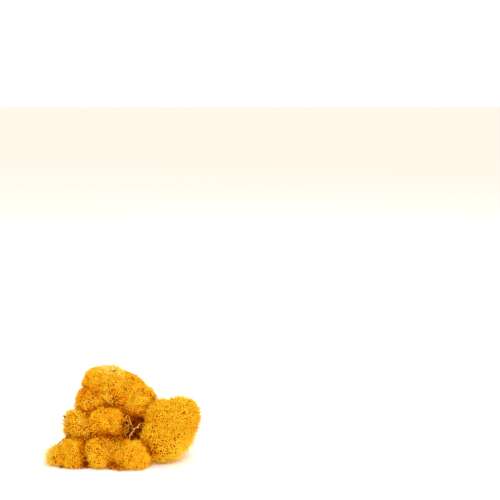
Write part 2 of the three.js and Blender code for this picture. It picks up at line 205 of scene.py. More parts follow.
class Head:
    """A smooth union of spheres, measured along rays from its middle, in mm."""

    def __init__(self, phase, lobes):
        lobes = np.array(lobes, float)
        self.c = (lobes[:, :3] * lobes[:, 3:] ** 3).sum(0) / (lobes[:, 3] ** 3).sum()
        self.q = lobes[:, :3] - self.c
        self.r = lobes[:, 3]
        self.phase = phase
        self.reach = (np.linalg.norm(self.q, axis=1) + self.r).max() + 1.5

    def radius(self, d):
        along = d @ self.q.T
        disc = self.r ** 2 - (self.q ** 2).sum(1) + along ** 2
        t = np.where(disc > 0, along + np.sqrt(np.maximum(disc, 0)), 0)
        top = t.max(1)
        base = top + np.log(np.exp(BLEND * (t - top[:, None])).sum(1)) / BLEND
        p = self.c + d * base[:, None]
        w = 2 * math.pi / RIPPLE_PITCH
        ripple = (np.sin(w * (p[:, 0] + 0.6 * p[:, 2]) + self.phase)
                  + np.sin(w * (1.1 * p[:, 1] - 0.5 * p[:, 0]) + 1.7 * self.phase + 1)
                  + np.sin(w * (1.05 * p[:, 2] + 0.4 * p[:, 1]) + 2.3 * self.phase + 2))
        return base + RIPPLE_HEIGHT / 3 * ripple

    def skin(self, d):
        return self.c + d * self.radius(d)[:, None]

    def normal(self, d):
        e1, e2 = across(d)
        step = 0.03
        a = self.skin(unit(d + step * e1)) - self.skin(unit(d - step * e1))
        b = self.skin(unit(d + step * e2)) - self.skin(unit(d - step * e2))
        n = unit(np.cross(a, b))
        return n * np.sign((n * d).sum(1, keepdims=True))

    def depth(self, p):
        """How far inside the skin each point is, along its ray. Negative outside."""
        v = p - self.c
        dist = np.linalg.norm(v, axis=1)
        out = np.full(len(p), -50.0)
        near = dist < self.reach + 5
        if near.any():
            out[near] = self.radius(unit(v[near])) - dist[near]
        return out

    def raw(self, spacing, density):
        count = max(int(density * 4 * math.pi * self.r.max() ** 2 * 2.2 / spacing ** 2), 60)
        d = even_dirs(count)
        return self.skin(unit(d + rng.normal(scale=0.6 * math.sqrt(4 * math.pi / count), size=d.shape)))


class Blob:
    """A small swelling: a few spheres run together."""

    def __init__(self, lobes):
        lobes = np.array(lobes, float)
        self.q, self.r = lobes[:, :3], lobes[:, 3]
        self.c = self.q.mean(0)
        self.reach = (np.linalg.norm(self.q - self.c, axis=1) + self.r).max()

    def depth(self, p):
        v = p - self.c
        dist2 = (v * v).sum(1)
        out = np.full(len(p), -50.0)
        near = dist2 < (self.reach + 4) ** 2
        if near.any():
            d = np.stack([r - np.sqrt(((p[near] - q) ** 2).sum(1)) for q, r in zip(self.q, self.r)])
            out[near] = -soft_least(list(-d), 1.5)
        return out

    def raw(self, spacing, density):
        out = []
        for q, r in zip(self.q, self.r):
            count = max(int(density * 4 * math.pi * r ** 2 / spacing ** 2), 30)
            d = even_dirs(count)
            out.append(q + r * unit(d + rng.normal(scale=0.6 * math.sqrt(4 * math.pi / count), size=d.shape)))
        return np.concatenate(out)


def spread_points(points, spacing, order):
    """The points kept so that no two are closer than spacing."""
    cell = spacing / math.sqrt(3)
    keys = np.floor(points / cell).astype(int)
    grid, kept = {}, []
    offsets = [(a, b, c) for a in range(-2, 3) for b in range(-2, 3) for c in range(-2, 3)]
    limit = spacing * spacing
    pts = points.tolist()
    keys = keys.tolist()
    for i in order.tolist():
        x, y, z = pts[i]
        kx, ky, kz = keys[i]
        if (kx, ky, kz) in grid:
            continue
        clear = True
        for a, b, c in offsets:
            j = grid.get((kx + a, ky + b, kz + c))
            if j is not None:
                q = pts[j]
                if (q[0] - x) ** 2 + (q[1] - y) ** 2 + (q[2] - z) ** 2 < limit:
                    clear = False
                    break
        if clear:
            grid[(kx, ky, kz)] = i
            kept.append(i)
    return np.array(kept, int)


def nearest_two(points, centres):
    """For each point, its nearest centre's index and the two least distances."""
    best = np.empty(len(points), int)
    d1 = np.empty(len(points))
    d2 = np.empty(len(points))
    for s in range(0, len(points), 4000):
        d = np.linalg.norm(points[s:s + 4000, None] - centres[None], axis=2)
        o = np.argpartition(d, 1, axis=1)[:, :2]
        pair = np.take_along_axis(d, o, 1)
        swap = pair[:, 0] > pair[:, 1]
        o[swap] = o[swap][:, ::-1]
        pair.sort(1)
        best[s:s + 4000], d1[s:s + 4000], d2[s:s + 4000] = o[:, 0], pair[:, 0], pair[:, 1]
    return best, d1, d2


def blotches(p, size, seed):
    """Smooth low noise from -1 to 1 at each point."""
    g = np.random.default_rng(seed)
    out = np.zeros(len(p))
    for k in range(7):
        way = unit(g.normal(size=3)) * (2 * math.pi / size) * g.uniform(0.6, 1.5)
        out += np.sin(p @ way + g.uniform(0, 6.28))
    return out / 3.4


# ------------------------------------------------------------- mesh building
class Mesh:
    """Gathers thin closed strands and spikes, then writes one mesh object."""

    def __init__(self):
        self.co, self.tri, self.uv, self.count = [], [], [], 0

    def add(self, co, tri, uv):
        self.co.append(co)
        self.tri.append(tri + self.count)
        self.uv.append(uv)
        self.count += len(co)

    def strands(self, pts, rad, u, v, sides=3, pointed=False, squash=None):
        """pts (n,k,3), rad (n,k), u (n), v (n,k): closed tapering strands."""
        n, k = pts.shape[:2]
        if not n:
            return
        chord = unit(pts[:, -1] - pts[:, 0])
        e1, e2 = across(chord)
        spin = rng.uniform(0, 2 * math.pi, n)
        rings = k - 1 if pointed else k
        angle = spin[:, None] + np.arange(sides) * 2 * math.pi / sides
        around = np.cos(angle)[..., None] * e1[:, None] + np.sin(angle)[..., None] * e2[:, None]
        ring = pts[:, :rings, None] + rad[:, :rings, None, None] * around[:, None]
        co = ring.reshape(n, rings * sides, 3)
        lean = (np.arange(sides) - (sides - 1) / 2) * (0.008 / max(sides - 1, 1))
        uu = np.broadcast_to(u[:, None, None] + lean, (n, rings, sides)).reshape(n, -1)
        vv = np.broadcast_to(v[:, :rings, None], (n, rings, sides)).reshape(n, -1)
        per = rings * sides
        if pointed:
            co = np.concatenate([co, pts[:, -1:]], 1)
            uu = np.concatenate([uu, u[:, None]], 1)
            vv = np.concatenate([vv, v[:, -1:]], 1)
            per += 1
        faces = []
        for a in range(rings - 1):
            for j in range(sides):
                j2 = (j + 1) % sides
                p, q = a * sides + j, a * sides + j2
                faces += [(p, q, q + sides), (p, q + sides, p + sides)]
        last = (rings - 1) * sides
        if pointed:
            faces += [(last + j, last + (j + 1) % sides, rings * sides) for j in range(sides)]
        else:
            faces += [(last, last + j, last + j + 1) for j in range(1, sides - 1)]
        faces += [(0, j + 1, j) for j in range(1, sides - 1)]
        tri = (np.arange(n) * per)[:, None, None] + np.array(faces)
        uv = np.stack([uu, vv], -1).reshape(-1, 2)
        self.add(co.reshape(-1, 3), tri.reshape(-1, 3), uv)

    def spikes(self, base, way, length, rad, u, v0, v1=0.02):
        """A slim pyramid on each base point: four faces."""
        tip = base + way * length[:, None]
        k = np.stack([base, tip], 1)
        r = np.stack([rad, rad], 1)
        self.strands(k, r, u, np.stack([v0, np.full(len(v0), v1) if np.isscalar(v1) else v1], 1), pointed=True)

    def piece(self, name, node, slot, material, settle=True, extra=()):
        co = np.concatenate(self.co) + SHIFT
        if settle:
            low = co[:, 2] < 0.6
            co[low, 2] = 0.6 * np.exp((co[low, 2] - 0.6) / 0.6)
        tri = np.concatenate(self.tri)
        uv = np.clip(np.concatenate(self.uv), 0.004, 0.996)
        me = bpy.data.meshes.new(name)
        me.vertices.add(len(co))
        me.vertices.foreach_set("co", (co / 1000).astype(np.float32).ravel())
        me.loops.add(tri.size)
        me.loops.foreach_set("vertex_index", tri.astype(np.int32).ravel())
        me.polygons.add(len(tri))
        me.polygons.foreach_set("loop_start", np.arange(0, tri.size, 3, dtype=np.int32))
        me.polygons.foreach_set("use_smooth", np.ones(len(tri), bool))
        layer = me.uv_layers.new(name="OFBake")
        layer.data.foreach_set("uv", uv[tri.ravel()].astype(np.float32).ravel())
        me.update(calc_edges=True)
        me.materials.append(material)
        ob = bpy.data.objects.new(name, me)
        bpy.context.scene.collection.objects.link(ob)
        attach(ob, "root")
        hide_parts(node, *extra)
        return ob


# ----------------------------------------------------------------- materials
def add_ramp(nt, socket, stops):
    node = nt.nodes.new("ShaderNodeValToRGB")
    node.color_ramp.interpolation = "LINEAR"
    els = node.color_ramp.elements
    while len(els) > 1:
        els.remove(els[-1])
    els[0].position, els[0].color = stops[0][0], (*stops[0][1], 1)
    for pos, col in stops[1:]:
        els.new(pos).color = (*col, 1)
    nt.links.new(socket, node.inputs["Fac"])
    return node.outputs["Color"]


def add_mix(nt, factor, a, b):
    node = nt.nodes.new("ShaderNodeMix")
    node.data_type = "RGBA"
    nt.links.new(factor, node.inputs["Factor"])
    nt.links.new(a, node.inputs["A"])
    nt.links.new(b, node.inputs["B"])
    return node.outputs["Result"]


def add_math(nt, kind, a, b, c=None):
    node = nt.nodes.new("ShaderNodeMath")
    node.operation = kind
    for i, v in enumerate((a, b, c)):
        if v is None:
            continue
        if isinstance(v, (int, float)):
            node.inputs[i].default_value = v
        else:
            nt.links.new(v, node.inputs[i])
    return node.outputs[0]


def lichen_material(name, tips, depths, rot_and_shade, rough=0.78, bump=0.35, mottle=0.16):
    """Colour by the strand's tone (u) and by how far down the branch it is (v): darker further down, partly the stems'
    own deeper colour and partly painted shade.
    """
    mat = bpy.data.materials.new(name)
    mat.use_nodes = True
    nt = mat.node_tree
    nt.nodes.clear()
    out = nt.nodes.new("ShaderNodeOutputMaterial")
    bsdf = nt.nodes.new("ShaderNodeBsdfPrincipled")
    nt.links.new(bsdf.outputs["BSDF"], out.inputs["Surface"])
    uvm = nt.nodes.new("ShaderNodeUVMap")
    uvm.uv_map = "OFBake"
    sep = nt.nodes.new("ShaderNodeSeparateXYZ")
    nt.links.new(uvm.outputs["UV"], sep.inputs[0])

    # a fine mottle along the strands
    stretch = nt.nodes.new("ShaderNodeVectorMath")
    stretch.operation = "MULTIPLY"
    stretch.inputs[1].default_value = (240.0, 26.0, 1.0)
    nt.links.new(uvm.outputs["UV"], stretch.inputs[0])
    noise = nt.nodes.new("ShaderNodeTexNoise")
    noise.inputs["Scale"].default_value = 1.0
    noise.inputs["Detail"].default_value = 3.0
    nt.links.new(stretch.outputs[0], noise.inputs["Vector"])
    shift = add_math(nt, "MULTIPLY_ADD", noise.outputs["Fac"], mottle, -mottle / 2)
    tone = add_math(nt, "ADD", sep.outputs["X"], shift)
    shaded_age = add_math(nt, "ADD", sep.outputs["Y"], shift)

    # tip colour, then darker colours further down: partly the stems' own colour, partly painted shade; the darkest
    # partly dead stem bases, partly painted deep shade
    fresh = add_ramp(nt, tone, tips)
    deeper = add_ramp(nt, tone, depths)
    deepest = add_ramp(nt, tone, rot_and_shade)
    by_depth = add_mix(nt, add_ramp(nt, shaded_age, [(0.0, (0, 0, 0)), (0.14, (0.06,) * 3), (0.45, (0.6,) * 3), (0.68, (1, 1, 1))]), fresh, deeper)
    colour = add_mix(nt, add_ramp(nt, shaded_age, [(0.66, (0, 0, 0)), (0.95, (1, 1, 1))]), by_depth, deepest)
    nt.links.new(colour, bsdf.inputs["Base Color"])

    rgh = nt.nodes.new("ShaderNodeMapRange")
    rgh.inputs["To Min"].default_value = rough - 0.1
    rgh.inputs["To Max"].default_value = rough + 0.12
    nt.links.new(noise.outputs["Fac"], rgh.inputs["Value"])
    nt.links.new(rgh.outputs[0], bsdf.inputs["Roughness"])

    coord = nt.nodes.new("ShaderNodeTexCoord")
    grain = nt.nodes.new("ShaderNodeTexNoise")
    grain.inputs["Scale"].default_value = 5200.0
    grain.inputs["Detail"].default_value = 2.0
    nt.links.new(coord.outputs["Object"], grain.inputs["Vector"])
    bmp = nt.nodes.new("ShaderNodeBump")
    bmp.inputs["Strength"].default_value = bump
    bmp.inputs["Distance"].default_value = 0.00006
    nt.links.new(grain.outputs["Fac"], bmp.inputs["Height"])
    nt.links.new(bmp.outputs["Normal"], bsdf.inputs["Normal"])
    bsdf.inputs["Specular IOR Level"].default_value = 0.02
    return mat


TIPS = [(0.0, (0.84, 0.23, 0.002)), (0.2, (0.89, 0.41, 0.006)), (0.4, (0.91, 0.54, 0.014)), (0.6, (0.93, 0.61, 0.03)),
        (0.8, (0.96, 0.73, 0.12)), (1.0, (0.98, 0.84, 0.38))]
DEPTHS = [(0.0, (0.34, 0.04, 0.001)), (0.5, (0.47, 0.10, 0.001)), (1.0, (0.55, 0.17, 0.01))]
ROT_AND_DEEP_SHADE = [(0.0, (0.09, 0.006, 0.001)), (0.5, (0.13, 0.013, 0.001)), (1.0, (0.19, 0.03, 0.003))]
moss = lichen_material("lichen_branchlets", TIPS, DEPTHS, ROT_AND_DEEP_SHADE)
twig = lichen_material("pale_bare_twig", [(0.0, (0.70, 0.30, 0.05)), (0.5, (0.84, 0.46, 0.13)), (1.0, (0.92, 0.60, 0.27))],
                       [(0.0, (0.40, 0.12, 0.01)), (0.5, (0.56, 0.21, 0.03)), (1.0, (0.66, 0.32, 0.08))],
                       [(0.0, (0.14, 0.02, 0.002)), (0.5, (0.22, 0.05, 0.004)), (1.0, (0.3, 0.09, 0.01))], rough=0.7, bump=0.6, mottle=0.3)
sprig_mat = lichen_material("fine_dyed_sprig", [(0.0, (0.72, 0.24, 0.012)), (0.5, (0.88, 0.42, 0.04)), (1.0, (0.94, 0.60, 0.16))],
                            [(0.0, (0.42, 0.08, 0.003)), (0.5, (0.60, 0.17, 0.008)), (1.0, (0.70, 0.28, 0.03))],
                            [(0.0, (0.12, 0.012, 0.001)), (0.5, (0.2, 0.03, 0.002)), (1.0, (0.28, 0.07, 0.006))], rough=0.75, bump=0.5, mottle=0.3)
needle_mat = lichen_material("dry_conifer_needle", [(0.0, (0.20, 0.07, 0.012)), (0.5, (0.34, 0.13, 0.02)), (1.0, (0.5, 0.24, 0.05))],
                             [(0.0, (0.12, 0.04, 0.01)), (0.5, (0.2, 0.07, 0.015)), (1.0, (0.3, 0.12, 0.03))],
                             [(0.0, (0.05, 0.02, 0.008)), (0.5, (0.08, 0.03, 0.01)), (1.0, (0.12, 0.05, 0.02))], rough=0.5, bump=0.4, mottle=0.35)
bark_mat = lichen_material("flaked_bark", [(0.0, (0.06, 0.024, 0.004)), (0.5, (0.13, 0.055, 0.009)), (1.0, (0.24, 0.115, 0.025))],
                           [(0.0, (0.03, 0.014, 0.005)), (0.5, (0.07, 0.032, 0.01)), (1.0, (0.16, 0.08, 0.03))],
                           [(0.0, (0.016, 0.008, 0.004)), (0.5, (0.03, 0.015, 0.007)), (1.0, (0.07, 0.04, 0.015))], rough=0.82, bump=1.0, mottle=0.5)


# --------------------------------------------------------------- head growth
bodies = {name: Head(phase, lobes) for name, (phase, lobes) in HEADS.items()}
tangle_body = Head(*TANGLE)
LOBES = np.concatenate([np.array(lobes, float) for _, lobes in list(HEADS.values()) + [TANGLE]] + [np.array(lobes) for lobes in LUMPS.values()])


class Skin:
    """The surface of a head run smoothly into its swellings and the heads it grew into."""

    def __init__(self, head, blobs=(), joined=(), apart=(), blend=1.1, blend_joined=()):
        self.head, self.blobs, self.joined, self.apart = head, list(blobs), list(joined), list(apart)
        self.blend, self.blend_joined = blend, blend_joined
        self.c = head.c

    def field(self, p):
        """Distance outside the surface, roughly, in mm. Negative inside."""
        own = -self.head.depth(p)
        if self.joined:
            for j, k in zip(self.joined, self.blend_joined):
                own = soft_least([own, -j.depth(p)], k)
        if self.blobs:
            own = soft_least([own] + [-b.depth(p) for b in self.blobs], self.blend)
        return own

    def settle(self, p, drop=0.0, rounds=2):
        """Move points onto the surface sunk by drop. Returns them and the way out."""
        h = 0.2
        for i in range(rounds):
            f = self.field(p)
            g = (np.stack([self.field(p + h * e) for e in np.eye(3)], 1) - f[:, None]) / h
            size = np.maximum(np.linalg.norm(g, axis=1), 0.35)
            n = g / size[:, None]
            p = p - n * np.clip((f + drop) / size, -1.5, 1.5)[:, None]
        return p, unit(n)

    def owned(self, p, inset):
        """Nearest to this head among those it is joined with, and clear of the others."""
        keep = np.ones(len(p), bool)
        own = self.head.depth(p)
        for j in self.joined:
            keep &= j.depth(p) <= own + 0.4
        for o in self.apart:
            keep[keep] &= o.depth(p[keep]) < inset
        return keep

    def sample(self, spacing, density=6, floor=-2.5, inset=2.5):
        """A dense scatter of points on the surface, with the way out at each."""
        p = np.concatenate([h.raw(spacing, density) for h in [self.head] + self.blobs])
        p = p[(p[:, 2] > floor) & self.owned(p, inset)]
        p = p[self.field(p) > -3.5]
        p, n = self.settle(p)
        keep = np.abs(self.field(p)) < 0.35
        self.p, self.n = p[keep], n[keep]

    def pick(self, spacing, drop=0.0, inset=0.15, floor=0.2):
        """Points of the scatter at an even spacing, on the open part of the surface."""
        p = self.p - self.n * drop
        keep = np.nonzero(p[:, 2] > floor)[0]
        keep = keep[self.owned(p[keep], inset)]
        kept = keep[spread_points(p[keep], spacing, rng.permutation(len(keep)))]
        return p[kept], self.n[kept]


def soft_least(values, k):
    v = np.stack(values)
    low = v.min(0)
    return low - np.log(np.exp(-k * (v - low)).sum(0)) / k


def near_neighbour(p, others, reach=1.7):
    """0 in the open, 1 deep in a crevice between heads."""
    out = np.zeros(len(p))
    for other in others:
        gap = -other.depth(p)
        out = np.maximum(out, np.exp(-np.maximum(gap, 0) / reach))
    return out


SKY = even_dirs(72)


def shaded(p, n):
    """How much of what lies in front of each point is other growth: 0 in the open, 1 buried."""
    lobes = LOBES[np.linalg.norm(LOBES[:, :3] - p.mean(0), axis=1) < 45 + np.linalg.norm(p - p.mean(0), axis=1).max()]
    hit_sum, all_sum = np.zeros(len(p)), np.zeros(len(p))
    start = p + n * 0.4
    v = lobes[None, :, :3] - start[:, None]
    gap = (v ** 2).sum(2)
    r2 = (lobes[:, 3] * 0.97) ** 2
    for d in SKY:
        w = np.maximum(n @ d, 0)
        sel = w > 0.02
        if not sel.any():
            continue
        along = v[sel] @ d
        hit = ((along > 0) & (gap[sel] - along ** 2 < r2) & (gap[sel] > r2)).any(1).astype(float)
        if d[2] < -0.05:
            hit = np.maximum(hit, 0.12)
        hit_sum[sel] += w[sel] * hit
        all_sum += w
    return hit_sum / np.maximum(all_sum, 1e-6)


def whorls(n, arms_of, odds):
    """One row for each arm: its whorl's index and its way out from the axis."""
    e1, e2 = across(n)
    turn = rng.uniform(0, 2 * math.pi, len(n))
    arms = rng.choice(arms_of, len(n), p=odds)
    who, out = [], []
    for m in arms_of:
        sel = np.nonzero(arms == m)[0]
        for i in range(m):
            a = turn[sel] + 2 * math.pi * (i + rng.uniform(-0.2, 0.2, len(sel))) / m
            who.append(sel)
            out.append(np.cos(a)[:, None] * e1[sel] + np.sin(a)[:, None] * e2[sel])
    return np.concatenate(who), np.concatenate(out)


class Pits:
    """Small holes that the stars leave open, each a shaft along the normal."""

    def __init__(self, p, n, radius):
        self.p, self.n, self.r = p, n, radius

    def inside(self, x, share=1.0):
        if len(self.p) < 2:
            return np.zeros(len(x), bool)
        who, near, _ = nearest_two(x, self.p)
        v = x - self.p[who]
        along = (v * self.n[who]).sum(1)
        off = np.linalg.norm(v - along[:, None] * self.n[who], axis=1)
        return (off < self.r[who] * share) & (np.abs(along) < 4.5)


def stars(mesh, pits, p, n, arm, thick, tone, age_and_shade, splay=1.8, stalk=1.25, arms=((4, 5, 6), (0.25, 0.5, 0.25))):
    """Short stalks, each tipped with a whorl of pointed arms."""
    if not len(p):
        return
    who, out = whorls(n, *arms)
    N = n[who]
    top = p - n * (0.30 * arm)[:, None]
    foot = top - n * stalk + rng.normal(scale=0.22, size=p.shape)
    mesh.strands(np.stack([foot, top], 1), np.stack([thick * 1.35, thick * 1.1], 1), tone, np.stack([0.62 + age_and_shade, 0.26 + age_and_shade], 1))
    lean = (splay * rng.uniform(0.55, 1.35, len(n)))[who][:, None] * rng.uniform(0.8, 1.2, (len(who), 1))
    way = unit(N + out * lean + rng.normal(scale=0.15, size=N.shape))
    length = arm[who] * rng.uniform(0.75, 1.25, len(who))
    base = top[who] - N * 0.06
    keep = ~pits.inside(base + way * length[:, None])
    who, way, length, base = who[keep], way[keep], length[keep], base[keep]
    mesh.spikes(base, way, length, thick[who] * rng.uniform(0.85, 1.1, len(who)),
                tone[who] + rng.normal(scale=0.03, size=len(who)), 0.24 + age_and_shade[who], 0.02 + 0.7 * age_and_shade[who])


def strays(mesh, p, n, length, thick, tone, age_and_shade):
    """Loose filaments that stand out past the rest, each with a fork or two."""
    if not len(p):
        return
    way = unit(n + rng.normal(scale=0.55, size=n.shape))
    side = unit(np.cross(way, rng.normal(size=n.shape)))
    t = np.linspace(0, 1, 3)
    pts = (p - n * 0.3)[:, None] + way[:, None] * (length[:, None] * t)[..., None] + side[:, None] * (0.25 * length[:, None] * t ** 2)[..., None]
    mesh.strands(pts, thick[:, None] * (1 - 0.25 * t), tone, np.broadcast_to(0.30 + age_and_shade[:, None] - 0.2 * t, (len(p), 3)))
    for turn in (1, -1, 0):
        sel = np.nonzero(rng.random(len(p)) < (0.95 if turn == 1 else 0.7 if turn == -1 else 0.45))[0]
        off = unit(np.cross(way[sel], side[sel]) * turn + 0.5 * side[sel] + rng.normal(scale=0.3, size=(len(sel), 3)))
        mesh.spikes(pts[sel, -1] - way[sel] * 0.05, unit(way[sel] + 0.8 * off), length[sel] * rng.uniform(0.4, 0.75, len(sel)), thick[sel] * 0.72,
                    tone[sel], 0.12 + age_and_shade[sel], 0.02 + 0.5 * age_and_shade[sel])


def closed_skin(head, drop, subdivisions, skin=None):
    """The head's skin sunk by drop, as one closed mesh."""
    b = bmesh.new()
    bmesh.ops.create_icosphere(b, subdivisions=subdivisions, radius=1.0)
    d = unit(np.array([v.co for v in b.verts]))
    f = np.array([[v.index for v in face.verts] for face in b.faces])
    b.free()
    r = head.radius(d)
    if skin is not None:
        most = r + 2.2
        for i in range(5):
            r = np.clip(r - 0.8 * skin.field(head.c + d * r[:, None]), 1.0, most)
    return head.c + d * np.maximum(r - drop(d, r), 0.8)[:, None], f


BALL = None


def mesh_cores(mesh, blobs, tone, shaded_age):
    """A closed ball inside each sphere of each swelling that has none yet, coloured dark like the thicket, partly as
    painted shade.
    """
    global BALL
    if BALL is None:
        b = bmesh.new()
        bmesh.ops.create_icosphere(b, subdivisions=1, radius=1.0)
        BALL = unit(np.array([v.co for v in b.verts])), np.array([[v.index for v in face.verts] for face in b.faces])
        b.free()
    for blob in blobs:
        if getattr(blob, "filled", False):
            continue
        blob.filled = True
        for q, r in zip(blob.q, blob.r):
            co = q + BALL[0] * max(r - 1.15, 0.5)
            mesh.add(co, BALL[1], np.stack([tone + 0.03 * BALL[0][:, 0], shaded_age + 0.04 * BALL[0][:, 1]], 1))


def cover(mesh, skin, s, barred=None, tone_light_shade_patches=(), pitted=(), frayed=None):
    """Two layers of stars and some strays on a skin."""
    skin.sample(s["space"])
    # florets: low domes with soft creases between them
    fp, fn = skin.pick(s["floret"], floor=-2, inset=1.5)
    ftone = rng.normal(size=len(fp)) * s["spread"] * 0.45

    def shape(p, n, share=1.0):
        if len(fp) < 3:
            return p, n, np.zeros(len(p)), np.zeros(len(p))
        who, d1, d2 = nearest_two(p, fp)
        crease = np.exp(-((d2 - d1) / 1.1) ** 2)
        lift = (0.30 * (1 - (d1 / (0.62 * s["floret"])) ** 2) - s["crease"] * crease + 0.18 * blotches(p, 3.1, 33)
                + s["tuft"] * blotches(p, 1.9, 77))
        away = p - fp[who]
        away -= n * (away * n).sum(1, keepdims=True)
        return p + n * (lift * share)[:, None], unit(n + 0.08 * away), crease, ftone[who]

    # pits: more of them towards the seams, hardly any on the plush crown
    hp, hn = skin.pick(s["pit"], floor=-2, inset=1.5)
    shade = shaded(hp, hn)
    odds = s["pits"] * np.clip(0.85 + 0.5 * blotches(hp, 12.0, 21), 0.05, 1) + s["pits_shade"] * np.maximum(shade - 0.22, 0)
    if s["seamed"] and len(fp) > 2:
        _, d1, d2 = nearest_two(hp, fp)
        odds = odds * (1 - s["seamed"] + 1.6 * s["seamed"] * np.exp(-((d2 - d1) / 1.6) ** 2))
    wide = np.ones(len(hp))
    for middle, reach, more, wider in pitted:
        near = np.exp(-((hp - np.array(middle)) ** 2).sum(1) / reach ** 2)
        odds, wide = odds + more * near, wide + wider * near
    if "plush" in s:
        x, y, z, reach = s["plush"]
        odds = odds * np.clip((np.linalg.norm(hp - np.array([x, y, z]), axis=1) / reach) ** 2 - 0.15, 0.05, 1)
    keep = rng.random(len(hp)) < odds
    pits = Pits(hp[keep], hn[keep], rng.uniform(*s["hole"], keep.sum()) * wide[keep])

    def sites(spacing, drop, inset):
        p, n = skin.pick(spacing, drop, inset)
        open_ = ~pits.inside(p, 1.15)
        if barred is not None:
            open_ &= ~barred(p)
        return p[open_], n[open_]

    # pale stars are painted highlights: tips that catch the light, most on the tops or round one place
    def paleness(p):
        if "pale_at" in s:
            return np.exp(-((p - np.array(s["pale_at"][:3])) ** 2).sum(1) / s["pale_at"][3] ** 2)
        return 0.15 + 0.85 * np.clip((p[:, 2] - s["pale_from"]) / 3, 0, 1)

    def colours(p, n, extra, crease):
        # Painted shade: tone turned red and colour darkened where other growth hides the sky, in seams between heads
        # that only touch, and in the florets' creases.
        buried_shade = np.maximum(shaded(p, n) - 0.10, 0)
        seam_shade = near_neighbour(p, skin.apart, 1.5)
        tone = (s["tone"] + extra + s["spread"] * 0.7 * blotches(p, 9.0, 5) + rng.normal(size=len(p)) * s["spread"] * 0.4
                + s["pale_by"] * (rng.random(len(p)) < s["pale"] * paleness(p))
                - s["redden"] * buried_shade - 0.30 * seam_shade - 0.07 * crease)
        age_and_shade = s["dark"] + 0.07 * crease + 0.20 * seam_shade + 0.16 * np.maximum(buried_shade - 0.25, 0) + 0.04 * rng.random(len(p))
        # patches from the table: mostly painted light and shade, a few other tone and dark spots
        for middle, reach, by, shaded_age in tone_light_shade_patches:
            near = np.exp(-((p - np.array(middle)) ** 2).sum(1) / reach ** 2)
            tone, age_and_shade = tone + by * near, age_and_shade + shaded_age * near
        return tone, age_and_shade

    p, n = sites(s["space"], 0.0, 0.15)
    p, n, crease, extra = shape(p, n)
    stray = rng.random(len(p)) < s["stray"]
    p = p + n * (rng.normal(scale=s["rough"], size=len(p)) + stray * rng.uniform(0.3, 0.8, len(p)))[:, None]
    n = unit(n + rng.normal(scale=0.2, size=n.shape))
    tone, age_and_shade = colours(p, n, extra, crease)
    arm = s["arm"] * rng.uniform(0.85, 1.2, len(p)) * (1 + 0.25 * stray)
    stars(mesh, pits, p, n, arm, s["thick"] * rng.uniform(0.9, 1.1, len(p)), tone, age_and_shade, splay=s["splay"])
    loose = np.zeros(len(p)) if frayed is None else np.exp(-((p - np.array(frayed[0])) ** 2).sum(1) / frayed[1] ** 2)
    sel = rng.random(len(p)) < s["hairs"] + (frayed[2] if frayed else 0) * loose
    strays(mesh, p[sel], n[sel], rng.uniform(*s["hair"], sel.sum()) * (1 + 0.4 * loose[sel]), rng.uniform(*s["wire"], sel.sum()), tone[sel] + 0.04, age_and_shade[sel])

    # the second, sunk layer: painted a little redder and darker as shade under the first
    p, n = sites(s["space"] * s["under"], s["sink"], 0.6)
    p, n, crease, extra = shape(p, n, 0.4)
    n = unit(n + rng.normal(scale=0.22, size=n.shape))
    tone, age_and_shade = colours(p, n, extra, crease)
    stars(mesh, pits, p, n, np.full(len(p), s["under_arm"]), np.full(len(p), s["fat"]), tone - 0.04, age_and_shade + s["under_dark"],
          splay=s["splay"] * 1.1, stalk=1.0, arms=((4, 5), (0.5, 0.5)))
    return pits


def seams(bodies):
    """Small swellings of moss along the seams. Both heads of a seam get each of them."""
    out = {name: [] for name in bodies}
    names = list(bodies)
    for i, name in enumerate(names):
        head = bodies[name]
        for other_name in names[i + 1:]:
            other = bodies[other_name]
            if np.linalg.norm(other.c - head.c) > other.reach + head.reach or frozenset((name, other_name)) in BARE_SEAMS | CREASED:
                continue
            joined = frozenset((name, other_name)) in JOINED
            d = even_dirs(2600)
            p = head.skin(d)
            near = (np.abs(other.depth(p)) < 0.8) & (p[:, 2] > 1.5)
            for k, b in bodies.items():
                if k not in (name, other_name):
                    near &= b.depth(p) < 0.8
            if not near.any():
                continue
            p, d = p[near], d[near]
            kept = spread_points(p, 3.6 if joined else 4.4, rng.permutation(len(p)))
            p, n = p[kept], unit(head.normal(d[kept]) + unit(p[kept] - other.c))
            for q, m in zip(p, n):
                r = rng.uniform(1.8, 2.8) if joined else rng.uniform(1.3, 2.0)
                q = q - m * (r * (rng.uniform(0.35, 0.85) if joined else rng.uniform(0.8, 1.1))) + rng.normal(scale=0.3, size=3)
                side = unit(np.cross(m, rng.normal(size=3)))
                blob = Blob([(*q, r), (*(q + side * r * 0.7), r * 0.75)])
                out[name].append(blob)
                out[other_name].append(blob)
    return out


